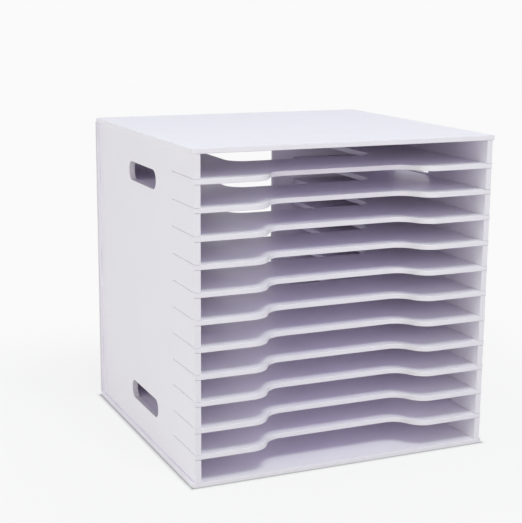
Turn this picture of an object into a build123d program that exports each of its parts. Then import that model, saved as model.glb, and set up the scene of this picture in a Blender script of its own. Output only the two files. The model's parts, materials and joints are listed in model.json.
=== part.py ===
"""Twelve-slot paper sorter made of flat boards that slot into each other.

Two side boards and two back boards stand between a bottom panel and a top panel. Eleven U-shaped shelves
slide in from the front. The ears at a shelf's front corners ride in open-ended slots in the side boards, and
the tabs at the ends of its two rear limbs pass through slots in the back boards.

Frame: X to the right, Y towards the back, Z up. The origin is the centre of the footprint, on the surface
that the sorter stands on. All sizes are in millimetres.
"""

import os

from build123d import *

# ---------------------------------------------------------------- driving dimensions

# Overall size of the sorter
overall_width = 330.0
overall_depth = 310.0
overall_height = 330.0

# Boards
panel_thickness = 5.0
side_thickness = 6.0
back_thickness = 5.0
shelf_thickness = 5.0
panel_overhang = 3.0  # of the top and bottom panels past the side boards' outer faces
panel_corner_radius = 2.5
back_board_width = 110.0  # each, from the panels' side edge inwards

# Paper slots
shelf_count = 11
end_slot_height = 23.5  # clear height under the top panel, and over the bottom panel

# Shelf outline
front_strip_depth = 104.0  # from the shelf's front edge to the rear cut-out
limb_width = 73.0
cutout_corner_radius = 18.0
scoop_depth = 25.0
scoop_floor_width = 122.0
scoop_bend_width = 40.0  # of each S-shaped end of the scoop
ear_length = 60.0
ear_reach = 0.5  # of the ears past the side boards' outer faces
rear_tab_width = 44.0

# Hand holes, two in each side board
hand_hole_length = 86.0
hand_hole_height = 20.0
hand_hole_radius = 9.0

# Tenons that join the carcass boards
panel_tenon_length = 40.0
panel_tenon_depth = 3.0  # they stop short of the panels' outer faces
panel_tenons_per_side = 3
back_tenon_height = 30.0
back_tenons_per_side = 3

# Clearances and edges
shelf_side_clearance = 0.3  # between a shelf and the inner faces round it
slot_clearance = 0.15  # above and below a shelf in its slots
slot_end_gap = 1.5  # from an ear or a tab to the end of its slot
tenon_clearance = 0.1  # on every side of a tenon in its mortise
edge_break = 0.4  # bevel along the shelves' scooped front edges and the panels' outlines

# ---------------------------------------------------------------- places that follow from them

half_width = overall_width / 2
front_y = -overall_depth / 2
rear_y = overall_depth / 2
back_front_y = rear_y - back_thickness

side_outer_x = half_width - panel_overhang
side_inner_x = side_outer_x - side_thickness
side_centre_x = (side_outer_x + side_inner_x) / 2
side_depth = back_front_y - front_y
side_centre_y = (front_y + back_front_y) / 2

board_bottom_z = panel_thickness
board_top_z = overall_height - panel_thickness
board_height = board_top_z - board_bottom_z
board_centre_z = (board_top_z + board_bottom_z) / 2

shelf_half_width = side_inner_x - shelf_side_clearance
ear_tip_x = side_outer_x + ear_reach
ear_rear_y = front_y + ear_length
limb_inner_x = shelf_half_width - limb_width
limb_rear_y = back_front_y - shelf_side_clearance
rear_tab_outer_x = limb_inner_x + rear_tab_width
cutout_front_y = front_y + front_strip_depth
scoop_floor_y = front_y + scoop_depth

slot_height = shelf_thickness + 2 * slot_clearance
ear_slot_length = ear_length + slot_end_gap
tab_slot_width = rear_tab_width + 2 * slot_end_gap
tab_slot_centre_x = (limb_inner_x + rear_tab_outer_x) / 2

top_shelf_z = board_top_z - end_slot_height - shelf_thickness
bottom_shelf_z = board_bottom_z + end_slot_height
shelf_pitch = (top_shelf_z - bottom_shelf_z) / (shelf_count - 1)
shelf_undersides = [top_shelf_z - shelf_pitch * n for n in range(shelf_count)]
shelf_centres = [z + shelf_thickness / 2 for z in shelf_undersides]

# The hand holes open into the second slot from the top and the second from the bottom
hand_hole_centres = [
    (shelf_centres[0] + shelf_centres[1]) / 2,
    (shelf_centres[-2] + shelf_centres[-1]) / 2,
]

back_board_inner_x = half_width - back_board_width
back_board_centre_x = (half_width + back_board_inner_x) / 2
panel_tenon_ys = [
    side_centre_y + side_depth * (n - (panel_tenons_per_side - 1) / 2) / panel_tenons_per_side
    for n in range(panel_tenons_per_side)
]
back_tenon_zs = [
    board_centre_z + board_height * (n - (back_tenons_per_side - 1) / 2) / back_tenons_per_side
    for n in range(back_tenons_per_side)
]
back_centre_y = (back_front_y + rear_y) / 2


def save(piece, label):
    """Names a finished piece and writes it to its own file."""
    piece.part.label = label
    export_step(piece.part, f"parts/{label}.step")


# ---------------------------------------------------------------- shelves


def build_shelf(underside_z):
    """U-shaped shelf: scooped front edge, an ear at each front corner, a tab on each rear limb."""
    with BuildPart() as shelf:
        with BuildSketch(Plane.XY.offset(underside_z)):
            with BuildLine():
                floor_end = (scoop_floor_width / 2, scoop_floor_y)
                bend_middle = (floor_end[0] + scoop_bend_width / 2, front_y + scoop_depth / 2)
                bend_end = (floor_end[0] + scoop_bend_width, front_y)
                scoop_floor = Line((0, scoop_floor_y), floor_end)
                inner_bend = TangentArc(scoop_floor @ 1, bend_middle, tangent=scoop_floor % 1)
                TangentArc(bend_middle, bend_end, tangent=inner_bend % 1)
                limb_edge = Polyline(
                    bend_end,
                    (ear_tip_x, front_y),
                    (ear_tip_x, ear_rear_y),
                    (shelf_half_width, ear_rear_y),
                    (shelf_half_width, limb_rear_y),
                    (rear_tab_outer_x, limb_rear_y),
                    (rear_tab_outer_x, rear_y),
                    (limb_inner_x, rear_y),
                    (limb_inner_x, cutout_front_y + cutout_corner_radius),
                )
                corner_end = (limb_inner_x - cutout_corner_radius, cutout_front_y)
                corner = TangentArc(limb_edge @ 1, corner_end, tangent=limb_edge % 1)
                Line(corner @ 1, (0, cutout_front_y))
                mirror(about=Plane.YZ)
            make_face()
        extrude(amount=shelf_thickness)
        outline_edges = shelf.faces().filter_by(Axis.Z).edges()
        chamfer(outline_edges.filter_by_position(Axis.Y, front_y, scoop_floor_y), length=edge_break)
    return shelf


# ---------------------------------------------------------------- side boards


def build_side_board(side):
    """Board in the YZ plane; side is -1 on the left and +1 on the right."""
    with BuildPart() as board:
        with BuildSketch(Plane.YZ.offset(side * side_inner_x)):
            with Locations((side_centre_y, board_centre_z)):
                Rectangle(side_depth, board_height)
            with Locations(*[(y, board_centre_z) for y in panel_tenon_ys]):
                Rectangle(panel_tenon_length, board_height + 2 * panel_tenon_depth)
            with Locations(*[(back_centre_y, z) for z in back_tenon_zs]):
                Rectangle(back_thickness, back_tenon_height)
            with Locations(*[(front_y, z) for z in shelf_centres]):
                Rectangle(
                    ear_slot_length,
                    slot_height,
                    align=(Align.MIN, Align.CENTER),
                    mode=Mode.SUBTRACT,
                )
            with Locations(*[(side_centre_y, z) for z in hand_hole_centres]):
                RectangleRounded(hand_hole_length, hand_hole_height, hand_hole_radius, mode=Mode.SUBTRACT)
        extrude(amount=side * side_thickness)
    return board


# ---------------------------------------------------------------- back boards


def build_back_board(side):
    """Board in the XZ plane that closes one rear corner; side is -1 on the left and +1 on the right."""
    with BuildPart() as board:
        with BuildSketch(Plane.XZ.offset(-rear_y)):
            with Locations((side * back_board_centre_x, board_centre_z)):
                Rectangle(back_board_width, board_height)
                Rectangle(panel_tenon_length, board_height + 2 * panel_tenon_depth)
            with Locations(*[(side * tab_slot_centre_x, z) for z in shelf_centres]):
                Rectangle(tab_slot_width, slot_height, mode=Mode.SUBTRACT)
            with Locations(*[(side * side_centre_x, z) for z in back_tenon_zs]):
                Rectangle(
                    side_thickness + 2 * tenon_clearance,
                    back_tenon_height + 2 * tenon_clearance,
                    mode=Mode.SUBTRACT,
                )
        extrude(amount=back_thickness)
    return board


# ---------------------------------------------------------------- top and bottom panels


def build_panel(outer_z, inner_z):
    """Horizontal panel between its outer and inner face, with blind mortises in the inner face.

    The mortises for the back boards are open towards the back.
    """
    inward = 1 if inner_z > outer_z else -1
    mortise_depth = panel_tenon_depth + tenon_clearance
    with BuildPart() as panel:
        with BuildSketch(Plane.XY.offset(outer_z)):
            RectangleRounded(overall_width, overall_depth, panel_corner_radius)
        extrude(amount=inward * panel_thickness)
        chamfer(panel.faces().filter_by(Axis.Z).edges(), length=edge_break)
        with BuildSketch(Plane.XY.offset(inner_z)):
            for side in (-1, 1):
                with Locations(*[(side * side_centre_x, y) for y in panel_tenon_ys]):
                    Rectangle(side_thickness + 2 * tenon_clearance, panel_tenon_length + 2 * tenon_clearance)
                with Locations((side * back_board_centre_x, back_front_y - tenon_clearance)):
                    Rectangle(
                        panel_tenon_length + 2 * tenon_clearance,
                        back_thickness + 2 * tenon_clearance,
                        align=(Align.CENTER, Align.MIN),
                    )
        extrude(amount=-inward * mortise_depth, mode=Mode.SUBTRACT)
    return panel


# ---------------------------------------------------------------- build and write every piece

os.makedirs("parts", exist_ok=True)

save(build_side_board(-1), "left_side")
save(build_side_board(1), "right_side")
save(build_back_board(-1), "left_back")
save(build_back_board(1), "right_back")
save(build_panel(overall_height, board_top_z), "top_panel")
save(build_panel(0, board_bottom_z), "bottom_panel")
for number, underside_z in enumerate(shelf_undersides, start=1):
    save(build_shelf(underside_z), f"shelf_{number:02d}")
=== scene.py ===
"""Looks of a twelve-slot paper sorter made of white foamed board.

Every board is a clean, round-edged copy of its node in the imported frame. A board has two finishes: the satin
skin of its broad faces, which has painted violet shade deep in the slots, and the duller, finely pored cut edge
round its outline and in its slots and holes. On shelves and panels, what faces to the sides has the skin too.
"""

import json
import math

import bmesh
import bpy
from bpy.props import FloatProperty, FloatVectorProperty, IntProperty, PointerProperty
from mathutils import Matrix, Vector


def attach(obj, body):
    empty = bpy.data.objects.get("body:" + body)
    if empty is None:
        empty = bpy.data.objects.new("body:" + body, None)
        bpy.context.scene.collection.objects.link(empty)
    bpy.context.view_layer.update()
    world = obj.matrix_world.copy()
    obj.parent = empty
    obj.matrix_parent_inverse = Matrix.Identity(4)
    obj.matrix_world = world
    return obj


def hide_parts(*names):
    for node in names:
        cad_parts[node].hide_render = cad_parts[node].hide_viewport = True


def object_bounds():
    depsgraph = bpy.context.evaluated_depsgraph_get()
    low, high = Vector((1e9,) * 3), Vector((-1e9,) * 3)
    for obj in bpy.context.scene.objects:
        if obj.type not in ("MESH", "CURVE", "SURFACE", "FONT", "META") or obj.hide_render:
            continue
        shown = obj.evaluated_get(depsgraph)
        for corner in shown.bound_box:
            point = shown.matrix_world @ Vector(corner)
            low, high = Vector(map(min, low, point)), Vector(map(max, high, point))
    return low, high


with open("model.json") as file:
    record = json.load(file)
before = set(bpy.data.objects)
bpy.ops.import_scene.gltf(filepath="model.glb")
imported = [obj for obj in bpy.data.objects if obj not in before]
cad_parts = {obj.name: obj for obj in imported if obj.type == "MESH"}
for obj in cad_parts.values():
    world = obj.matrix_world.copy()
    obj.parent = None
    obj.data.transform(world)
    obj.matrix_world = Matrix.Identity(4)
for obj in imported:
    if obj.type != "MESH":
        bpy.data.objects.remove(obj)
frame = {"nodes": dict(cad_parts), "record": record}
cad_low, cad_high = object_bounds()

bl_info = {
    "name": "Paper Sorter Looks",
    "version": (1, 0, 0),
    "blender": (4, 5, 0),
    "location": "3D View > Sidebar > Sorter",
    "description": "Round-edged boards, finishes and studio stage for a slotted paper sorter",
    "category": "Object",
}

SHELF_NODES = sorted(name for name in frame["nodes"] if name.startswith("shelf_"))
SIDE_NODES = ["left_side", "right_side"]
BACK_NODES = ["left_back", "right_back"]
PANEL_NODES = ["top_panel", "bottom_panel"]
BODIES = frame["record"]["behaviour"]["bodies"]
BODY_OF_NODE = {node: body for body, nodes in BODIES.items() for node in nodes}

# All lengths are in metres
HALF_WIDTH, HALF_DEPTH, HALF_HEIGHT = (round((high - low) / 2, 6) for low, high in zip(cad_low, cad_high))
MIDDLE = (0.0, 0.0, HALF_HEIGHT)

# Boards
X_AXIS, Y_AXIS, Z_AXIS = 0, 1, 2
SKIN_SLOT, EDGE_SLOT = 0, 1
MERGE_DISTANCE = 1e-6  # under which the frame's loose corners are one
FLAT_ANGLE = math.radians(0.5)  # up to which neighbouring triangles are one face
SHARP_ANGLE = math.radians(30)  # past which an edge is rounded
FACING = 0.998  # share of a face's normal along the skinned axes over which it has the skin
LARGE_FACES_LEAD = 100  # weight of large faces over small ones in the shading, where 50 is neutral

# Finishes: the darkest and the lightest share of the colour in their clouds
SKIN_CLOUDS = (0.985, 1.015)
EDGE_CLOUDS = (0.96, 1.02)
NOISE_RANGE = (0.3, 0.7)  # in which nearly all of a noise texture's values lie

# Painted violet shade in the skin: its colour comes in along Y behind the open front and ends within the
# boards' thickness
INNER_START, INNER_FULL = -0.15, -0.105
INNER_HALF_WIDTH = 0.157
INNER_HALF_HEIGHT = 0.161
INNER_REAR = 0.151
INNER_FADE = 0.002

# Stage: the floor's painted contact shadow starts to ease just inside the footprint, and a lamp has a width and
# a height
UNDER_EDGE = -0.001
KEY_PLACE, KEY_SIZE = (0.0, -1.0, 2.12), (0.7, 0.7)
FRONT_PLACE, FRONT_SIZE = (0.0, -2.38, 0.5), (1.6, 0.55)
LEFT_PLACE, LEFT_SIZE = (-2.15, -0.38, 0.5), (1.2, 1.0)


# ---------------------------------------------------------------- settings


class SorterBoardSettings(bpy.types.PropertyGroup):
    """Sizes and colours of the boards."""

    board_edge_radius: FloatProperty(
        name="Board Edge Radius",
        description="Rounding of the sawn edges of shelves, sides and backs, and of their slots",
        default=0.00006,
        min=0.0,
        unit="LENGTH",
    )
    panel_edge_radius: FloatProperty(
        name="Panel Edge Radius",
        description="Rounding of the eased edges of the top and bottom panels",
        default=0.0003,
        min=0.0,
        unit="LENGTH",
    )
    edge_segments: IntProperty(
        name="Edge Segments",
        description="Facets across each rounded edge",
        default=2,
        min=1,
    )
    skin_colour: FloatVectorProperty(
        name="Skin Colour",
        description="Colour of the boards' broad faces",
        subtype="COLOR",
        size=3,
        default=(0.862, 0.826, 0.916),
    )
    # Painted shade: the broad faces deep in the slots get this more violet colour, which stands in for the tint
    # of their shadows
    violet_shade_colour: FloatVectorProperty(
        name="Inner Colour",
        description="Colour of the broad faces deep in the slots",
        subtype="COLOR",
        size=3,
        default=(0.864, 0.81, 0.943),
    )
    edge_colour: FloatVectorProperty(
        name="Edge Colour",
        description="Colour of the foam where the boards are cut",
        subtype="COLOR",
        size=3,
        default=(0.72, 0.688, 0.735),
    )
    skin_roughness: FloatProperty(
        name="Skin Roughness",
        description="Roughness of the moulded skin",
        subtype="FACTOR",
        default=0.36,
    )
    edge_roughness: FloatProperty(
        name="Edge Roughness",
        description="Roughness of the cut foam",
        subtype="FACTOR",
        default=0.55,
    )


class SorterStageSettings(bpy.types.PropertyGroup):
    """Camera, floor, background and lamps."""

    camera_place: FloatVectorProperty(
        name="Camera Place",
        description="Where the camera stands",
        subtype="TRANSLATION",
        size=3,
        default=(-0.554, -1.196, 0.466),
    )
    camera_turn: FloatProperty(
        name="Camera Turn",
        description="Turn to the right from looking straight at the open front",
        subtype="ANGLE",
        default=math.radians(23.81),
    )
    camera_dip: FloatProperty(
        name="Camera Dip",
        description="Tilt below the horizon",
        subtype="ANGLE",
        default=math.radians(12.22),
    )
    camera_roll: FloatProperty(
        name="Camera Roll",
        description="Roll about the line of sight",
        subtype="ANGLE",
        default=math.radians(0.44),
    )
    camera_lens: FloatProperty(
        name="Lens",
        description="Focal length in millimetres, on a sensor 36 mm long",
        default=84.18,
    )
    floor_size: FloatProperty(
        name="Floor Size",
        description="Length of the floor's sides",
        default=14.0,
        unit="LENGTH",
    )
    floor_colour: FloatVectorProperty(
        name="Floor Colour",
        description="Colour of the floor",
        subtype="COLOR",
        size=3,
        default=(0.78, 0.78, 0.78),
    )
    contact_width: FloatProperty(
        name="Contact Width",
        description="Width of the strip round the sorter over which the floor turns to the background's colour",
        default=0.006,
        unit="LENGTH",
    )
    # Painted contact shadow: how dark the floor's colour is made right at the sorter's edge
    contact_shade: FloatProperty(
        name="Contact Shade",
        description="Share of the floor's colour that is left right at the sorter's edge",
        subtype="FACTOR",
        default=0.55,
    )
    near_glow: FloatProperty(
        name="Glow beside the Sorter",
        description="Share of the background's colour in the floor just outside that strip, where it is seen",
        subtype="FACTOR",
        default=0.86,
    )
    shadow_reach: FloatProperty(
        name="Shadow Reach",
        description="Distance from the sorter at which the floor is all background colour",
        default=0.4,
        unit="LENGTH",
    )
    background_colour: FloatVectorProperty(
        name="Background Colour",
        description="Colour of the room, where the camera sees it",
        subtype="COLOR",
        size=3,
        default=(0.955, 0.955, 0.955),
    )
    room_colour: FloatVectorProperty(
        name="Room Light Colour",
        description="Colour of the even light from all round, which fills the shadows",
        subtype="COLOR",
        size=3,
        default=(0.82, 0.8, 1.0),
    )
    room_strength: FloatProperty(
        name="Room Light",
        description="Strength of the even light from all round",
        default=0.57,
    )
    key_power: FloatProperty(
        name="Key Power",
        description="Power of the lamp high in front of the sorter",
        default=21.0,
        unit="POWER",
    )
    key_colour: FloatVectorProperty(
        name="Key Colour",
        description="Colour of the lamp high in front of the sorter",
        subtype="COLOR",
        size=3,
        default=(0.885, 1.0, 0.8),
    )
    front_power: FloatProperty(
        name="Front Power",
        description="Power of the long low lamp in front, which shines into the slots",
        default=13.0,
        unit="POWER",
    )
    front_colour: FloatVectorProperty(
        name="Front Colour",
        description="Colour of the long low lamp in front",
        subtype="COLOR",
        size=3,
        default=(1.0, 0.99, 0.95),
    )
    left_power: FloatProperty(
        name="Left Power",
        description="Power of the large low lamp on the left",
        default=12.4,
        unit="POWER",
    )
    left_colour: FloatVectorProperty(
        name="Left Colour",
        description="Colour of the large low lamp on the left",
        subtype="COLOR",
        size=3,
        default=(0.93, 1.0, 0.62),
    )


# ---------------------------------------------------------------- node helpers


def new_material(name):
    """A new node material, with its node tree and its shader."""
    material = bpy.data.materials.new(name)
    material.use_nodes = True
    tree = material.node_tree
    return material, tree, tree.nodes["Principled BSDF"]


def object_place(tree):
    """The Object coordinates."""
    return tree.nodes.new("ShaderNodeTexCoord").outputs["Object"]


def separated(tree, place):
    """The place's X, Y and Z, by their names."""
    node = tree.nodes.new("ShaderNodeSeparateXYZ")
    tree.links.new(place, node.inputs["Vector"])
    return node.outputs


def opaque(colour, share=1.0):
    """The colour times the share, for a socket."""
    return (*(channel * share for channel in colour), 1.0)


def feed(tree, socket, value):
    """Gives a socket a plain value or another socket's result."""
    if isinstance(value, bpy.types.NodeSocket):
        tree.links.new(value, socket)
    else:
        socket.default_value = value


def calculated(tree, operation, *terms):
    """The result of a sum on numbers and sockets."""
    node = tree.nodes.new("ShaderNodeMath")
    node.operation = operation
    for socket, term in zip(node.inputs, terms):
        feed(tree, socket, term)
    return node.outputs["Value"]


def remapped(tree, value, start, end, low, high, interpolation="LINEAR"):
    """Goes from low to high while the value goes from start to end."""
    node = tree.nodes.new("ShaderNodeMapRange")
    node.interpolation_type = interpolation
    node.inputs["From Min"].default_value = start
    node.inputs["From Max"].default_value = end
    node.inputs["To Min"].default_value = low
    node.inputs["To Max"].default_value = high
    tree.links.new(value, node.inputs["Value"])
    return node.outputs["Result"]


def ramp(tree, value, start, end, low, high):
    """A smooth rise or fall from low to high while the value goes from start to end."""
    return remapped(tree, value, start, end, low, high, "SMOOTHSTEP")


def spread(tree, texture, low, high):
    """A noise texture, spread from low to high."""
    return remapped(tree, texture, *NOISE_RANGE, low, high)


def noise(tree, place, scale, detail, roughness=0.5):
    """A noise texture, with its scale in features per metre."""
    texture = tree.nodes.new("ShaderNodeTexNoise")
    texture.inputs["Scale"].default_value = scale
    texture.inputs["Detail"].default_value = detail
    texture.inputs["Roughness"].default_value = roughness
    tree.links.new(place, texture.inputs["Vector"])
    return texture.outputs["Fac"]


def bump(tree, height, distance, strength, under=None):
    """A bump from the given height, over an earlier one where there is one."""
    node = tree.nodes.new("ShaderNodeBump")
    node.inputs["Distance"].default_value = distance
    node.inputs["Strength"].default_value = strength
    tree.links.new(height, node.inputs["Height"])
    if under is not None:
        tree.links.new(under, node.inputs["Normal"])
    return node.outputs["Normal"]


def tinted(tree, factor, first, second):
    """A colour between the first and the second, which are colours or sockets."""
    mix = tree.nodes.new("ShaderNodeMix")
    mix.data_type = "RGBA"
    tree.links.new(factor, mix.inputs["Factor"])
    feed(tree, mix.inputs["A"], first)
    feed(tree, mix.inputs["B"], second)
    return mix.outputs["Result"]


def clouded(tree, clouds, colour, darkest, lightest):
    """The colour with clouds in it, from its darkest to its lightest share."""
    return tinted(tree, clouds, opaque(colour, darkest), opaque(colour, lightest))


def mixed_shaders(tree, share, first, second):
    """The first shader, with the given share of the second."""
    mix = tree.nodes.new("ShaderNodeMixShader")
    for socket, value in zip(mix.inputs, (share, first, second)):
        tree.links.new(value, socket)
    return mix.outputs["Shader"]


def seen_directly(tree):
    """One where the camera sees a thing directly, mirrored or through glass, else nought."""
    path = tree.nodes.new("ShaderNodeLightPath").outputs
    straight_or_mirrored = calculated(tree, "MAXIMUM", path["Is Camera Ray"], path["Is Glossy Ray"])
    return calculated(tree, "MAXIMUM", straight_or_mirrored, path["Is Transmission Ray"])


# ---------------------------------------------------------------- finishes of the boards


def violet_shade_share(tree, place):
    """Share of the painted violet shade colour: none outside and near the open front, all deep in the slots."""
    parts = separated(tree, place)
    sideways = calculated(tree, "ABSOLUTE", parts["X"])
    height = calculated(tree, "SUBTRACT", parts["Z"], HALF_HEIGHT)
    upwards = calculated(tree, "ABSOLUTE", height)
    limits = ((sideways, INNER_HALF_WIDTH), (upwards, INNER_HALF_HEIGHT), (parts["Y"], INNER_REAR))
    share = ramp(tree, parts["Y"], INNER_START, INNER_FULL, 0.0, 1.0)
    for value, limit in limits:
        within = ramp(tree, value, limit, limit + INNER_FADE, 1.0, 0.0)
        share = calculated(tree, "MULTIPLY", share, within)
    return share


def board_skin():
    """Satin skin of foamed board: faint clouds and smears, a slow waviness, a fine orange-peel grain, and
    painted violet shade deep in the slots.
    """
    settings = bpy.context.scene.sorter_boards
    _, tree, shader = new_material("board_skin")
    place = object_place(tree)

    clouds = noise(tree, place, scale=9.0, detail=2.0)
    outer = clouded(tree, clouds, settings.skin_colour, *SKIN_CLOUDS)
    inner = clouded(tree, clouds, settings.violet_shade_colour, *SKIN_CLOUDS)
    # Painted shade: the skin turns to the violet shade colour deep in the slots, in place of the tint of their
    # shadows
    tree.links.new(tinted(tree, violet_shade_share(tree, place), outer, inner), shader.inputs["Base Color"])

    smears = noise(tree, place, scale=34.0, detail=3.0)
    rough = settings.skin_roughness
    tree.links.new(spread(tree, smears, rough - 0.03, rough + 0.04), shader.inputs["Roughness"])

    waves = noise(tree, place, scale=9.0, detail=1.0)
    wavy = bump(tree, waves, distance=0.0004, strength=0.4)
    grain = noise(tree, place, scale=1500.0, detail=2.0)
    grainy = bump(tree, grain, distance=0.00001, strength=0.4, under=wavy)
    tree.links.new(grainy, shader.inputs["Normal"])
    shader.inputs["IOR"].default_value = 1.35


def cut_edge():
    """Sawn edge of foamed board: greyer and duller than the skin, with fine pores and faint patches."""
    settings = bpy.context.scene.sorter_boards
    _, tree, shader = new_material("board_cut_edge")
    place = object_place(tree)

    clouds = noise(tree, place, scale=60.0, detail=4.0)
    colour = clouded(tree, clouds, settings.edge_colour, *EDGE_CLOUDS)
    tree.links.new(colour, shader.inputs["Base Color"])

    patches = noise(tree, place, scale=140.0, detail=2.0)
    rough = settings.edge_roughness
    tree.links.new(spread(tree, patches, rough - 0.08, rough + 0.1), shader.inputs["Roughness"])

    pores = noise(tree, place, scale=2600.0, detail=3.0, roughness=0.6)
    pored = bump(tree, pores, distance=0.00006, strength=0.6)
    tree.links.new(pored, shader.inputs["Normal"])
    shader.inputs["IOR"].default_value = 1.45


# ---------------------------------------------------------------- boards


def rounded_board(node, skinned, radius):
    """A clean copy of a node with round edges, and the skin on what faces along the skinned axes."""
    board = bmesh.new()
    board.from_mesh(frame["nodes"][node].data)
    bmesh.ops.remove_doubles(board, verts=board.verts, dist=MERGE_DISTANCE)
    bmesh.ops.dissolve_limit(
        board,
        angle_limit=FLAT_ANGLE,
        verts=board.verts,
        edges=board.edges,
        use_dissolve_boundaries=False,
    )
    sharp = [edge for edge in board.edges if edge.calc_face_angle(0.0) > SHARP_ANGLE]
    bmesh.ops.bevel(
        board,
        geom=sharp,
        affect="EDGES",
        offset_type="OFFSET",
        offset=radius,
        segments=bpy.context.scene.sorter_boards.edge_segments,
        profile=0.5,
        material=-1,
        clamp_overlap=True,
    )
    board.normal_update()
    for face in board.faces:
        face.smooth = True
        facing = sum(face.normal[axis] ** 2 for axis in skinned)
        face.material_index = SKIN_SLOT if facing > FACING else EDGE_SLOT
    mesh = bpy.data.meshes.new(f"{node}_board")
    board.to_mesh(mesh)
    board.free()
    mesh.materials.append(bpy.data.materials["board_skin"])
    mesh.materials.append(bpy.data.materials["board_cut_edge"])
    piece = bpy.data.objects.new(f"{node}_board", mesh)
    bpy.context.scene.collection.objects.link(piece)
    flat_shading = piece.modifiers.new("keep the broad faces flat", "WEIGHTED_NORMAL")
    flat_shading.weight = LARGE_FACES_LEAD
    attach(piece, BODY_OF_NODE[node])
    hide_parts(node)


class SorterMaterials(bpy.types.Operator):
    """Make the two finishes of the boards"""

    bl_idname = "sorter.materials"
    bl_label = "Board Finishes"

    def execute(self, context):
        board_skin()
        cut_edge()
        return {"FINISHED"}


class SorterPanels(bpy.types.Operator):
    """Make the top and bottom panels"""

    bl_idname = "sorter.panels"
    bl_label = "Top and Bottom Panels"

    def execute(self, context):
        radius = context.scene.sorter_boards.panel_edge_radius
        for node in PANEL_NODES:
            rounded_board(node, (X_AXIS, Z_AXIS), radius)
        return {"FINISHED"}


class SorterSides(bpy.types.Operator):
    """Make the slotted side boards with their hand holes"""

    bl_idname = "sorter.sides"
    bl_label = "Side Boards"

    def execute(self, context):
        radius = context.scene.sorter_boards.board_edge_radius
        for node in SIDE_NODES:
            rounded_board(node, (X_AXIS,), radius)
        return {"FINISHED"}


class SorterBacks(bpy.types.Operator):
    """Make the slotted back boards"""

    bl_idname = "sorter.backs"
    bl_label = "Back Boards"

    def execute(self, context):
        radius = context.scene.sorter_boards.board_edge_radius
        for node in BACK_NODES:
            rounded_board(node, (Y_AXIS,), radius)
        return {"FINISHED"}


class SorterShelves(bpy.types.Operator):
    """Make the U-shaped shelves"""

    bl_idname = "sorter.shelves"
    bl_label = "Shelves"

    def execute(self, context):
        radius = context.scene.sorter_boards.board_edge_radius
        for node in SHELF_NODES:
            rounded_board(node, (X_AXIS, Z_AXIS), radius)
        return {"FINISHED"}


# ---------------------------------------------------------------- stage


def outside_footprint(tree, place):
    """How far a place on the floor is outside the sorter's footprint."""
    parts = separated(tree, place)
    beside = calculated(tree, "SUBTRACT", calculated(tree, "ABSOLUTE", parts["X"]), HALF_WIDTH)
    before = calculated(tree, "SUBTRACT", calculated(tree, "ABSOLUTE", parts["Y"]), HALF_DEPTH)
    return calculated(tree, "MAXIMUM", beside, before)


def floor_material(settings):
    """Pale floor that meets the background without a seam; it keeps a faint real shadow of the sorter and a
    strip of painted contact shadow right round its foot.
    """
    material, tree, shader = new_material("floor")
    away = outside_footprint(tree, object_place(tree))

    # Painted contact shadow: the floor's colour is darkened to the contact shade at the sorter's edge and
    # clears over half the contact width
    clean = ramp(tree, away, UNDER_EDGE, settings.contact_width / 2, 0.0, 1.0)
    painted_shadow_colour = opaque(settings.floor_colour, settings.contact_shade)
    colour = tinted(tree, clean, painted_shadow_colour, opaque(settings.floor_colour))
    tree.links.new(colour, shader.inputs["Base Color"])
    shader.inputs["Roughness"].default_value = 0.9
    shader.inputs["Specular IOR Level"].default_value = 0.1

    glow = tree.nodes.new("ShaderNodeEmission")
    glow.inputs["Color"].default_value = opaque(settings.background_colour)
    outside = ramp(tree, away, UNDER_EDGE, settings.contact_width, 0.0, 1.0)
    clear = ramp(tree, away, 0.0, settings.shadow_reach, settings.near_glow, 1.0)
    share = calculated(tree, "MULTIPLY", outside, clear)
    share = calculated(tree, "MULTIPLY", share, seen_directly(tree))
    surface = mixed_shaders(tree, share, shader.outputs["BSDF"], glow.outputs["Emission"])
    tree.links.new(surface, tree.nodes["Material Output"].inputs["Surface"])
    return material


def add_floor(settings):
    """Large square floor under the sorter."""
    sheet = bmesh.new()
    bmesh.ops.create_grid(sheet, x_segments=1, y_segments=1, size=settings.floor_size / 2)
    mesh = bpy.data.meshes.new("floor")
    sheet.to_mesh(mesh)
    sheet.free()
    mesh.materials.append(floor_material(settings))
    floor = bpy.data.objects.new("floor", mesh)
    bpy.context.scene.collection.objects.link(floor)


def background(tree, colour, strength):
    """A plain light from all round."""
    node = tree.nodes.new("ShaderNodeBackground")
    node.inputs["Color"].default_value = opaque(colour)
    node.inputs["Strength"].default_value = strength
    return node.outputs["Background"]


def add_world(settings):
    """Even room light, with a plain background where the camera looks."""
    world = bpy.data.worlds.new("room")
    world.use_nodes = True
    tree = world.node_tree
    tree.nodes.clear()
    output = tree.nodes.new("ShaderNodeOutputWorld")
    light = background(tree, settings.room_colour, settings.room_strength)
    seen = background(tree, settings.background_colour, 1.0)
    tree.links.new(mixed_shaders(tree, seen_directly(tree), light, seen), output.inputs["Surface"])
    bpy.context.scene.world = world


def add_lamp(name, place, size, power, colour):
    """Rectangular soft lamp, turned towards the middle of the sorter."""
    light = bpy.data.lights.new(name, "AREA")
    light.shape = "RECTANGLE"
    light.size, light.size_y = size
    light.energy = power
    light.color = colour
    lamp = bpy.data.objects.new(name, light)
    lamp.location = place
    lamp.rotation_euler = (Vector(MIDDLE) - Vector(place)).to_track_quat("-Z", "Y").to_euler()
    bpy.context.scene.collection.objects.link(lamp)


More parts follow.
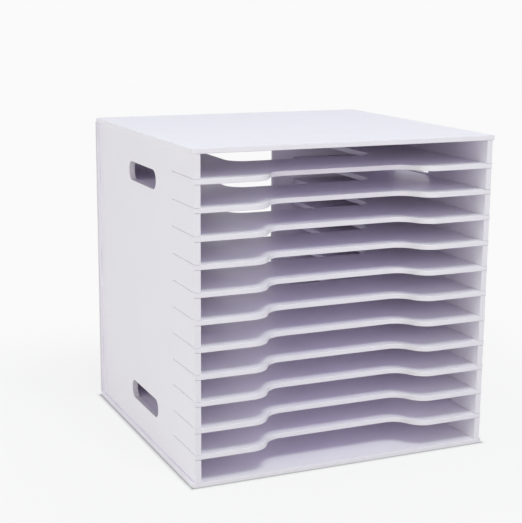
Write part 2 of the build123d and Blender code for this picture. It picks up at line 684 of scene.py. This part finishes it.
def add_camera(settings):
    """Camera at the photograph's viewing angle."""
    turn, dip, roll = settings.camera_turn, settings.camera_dip, settings.camera_roll
    sight = Vector((math.sin(turn) * math.cos(dip), math.cos(turn) * math.cos(dip), -math.sin(dip)))
    level_right = Vector((math.cos(turn), -math.sin(turn), 0.0))
    level_up = level_right.cross(sight)
    right = math.cos(roll) * level_right + math.sin(roll) * level_up
    up = math.cos(roll) * level_up - math.sin(roll) * level_right
    data = bpy.data.cameras.new("photo_view")
    data.lens = settings.camera_lens
    camera = bpy.data.objects.new("photo_view", data)
    turned = Matrix((right, up, -sight)).transposed().to_4x4()
    camera.matrix_world = Matrix.Translation(settings.camera_place) @ turned
    bpy.context.scene.collection.objects.link(camera)
    bpy.context.scene.camera = camera


class SorterStage(bpy.types.Operator):
    """Make the floor, the room light, the lamps and the camera"""

    bl_idname = "sorter.stage"
    bl_label = "Stage"

    def execute(self, context):
        settings = context.scene.sorter_stage
        add_floor(settings)
        add_world(settings)
        add_lamp("key", KEY_PLACE, KEY_SIZE, settings.key_power, settings.key_colour)
        add_lamp("front", FRONT_PLACE, FRONT_SIZE, settings.front_power, settings.front_colour)
        add_lamp("left", LEFT_PLACE, LEFT_SIZE, settings.left_power, settings.left_colour)
        add_camera(settings)
        context.scene.view_settings.view_transform = "Standard"
        return {"FINISHED"}


# ---------------------------------------------------------------- panel and registration


class SorterPanel(bpy.types.Panel):
    """Sidebar panel that lists the sorter's pieces and settings"""

    bl_idname = "VIEW3D_PT_paper_sorter"
    bl_label = "Paper Sorter"
    bl_space_type = "VIEW_3D"
    bl_region_type = "UI"
    bl_category = "Sorter"

    def draw(self, context):
        layout = self.layout
        for operator in OPERATORS:
            layout.operator(operator.bl_idname)
        for settings in (context.scene.sorter_boards, context.scene.sorter_stage):
            box = layout.box()
            for name in settings.__annotations__:
                box.prop(settings, name)


OPERATORS = (SorterMaterials, SorterPanels, SorterSides, SorterBacks, SorterShelves, SorterStage)
CLASSES = (SorterBoardSettings, SorterStageSettings, *OPERATORS, SorterPanel)


def register():
    for cls in CLASSES:
        bpy.utils.register_class(cls)
    bpy.types.Scene.sorter_boards = PointerProperty(type=SorterBoardSettings)
    bpy.types.Scene.sorter_stage = PointerProperty(type=SorterStageSettings)


def unregister():
    del bpy.types.Scene.sorter_stage
    del bpy.types.Scene.sorter_boards
    for cls in reversed(CLASSES):
        bpy.utils.unregister_class(cls)


def main():
    register()
    bpy.ops.sorter.materials()
    bpy.ops.sorter.panels()
    bpy.ops.sorter.sides()
    bpy.ops.sorter.backs()
    bpy.ops.sorter.shelves()
    bpy.ops.sorter.stage()


if __name__ == "__main__":
    main()
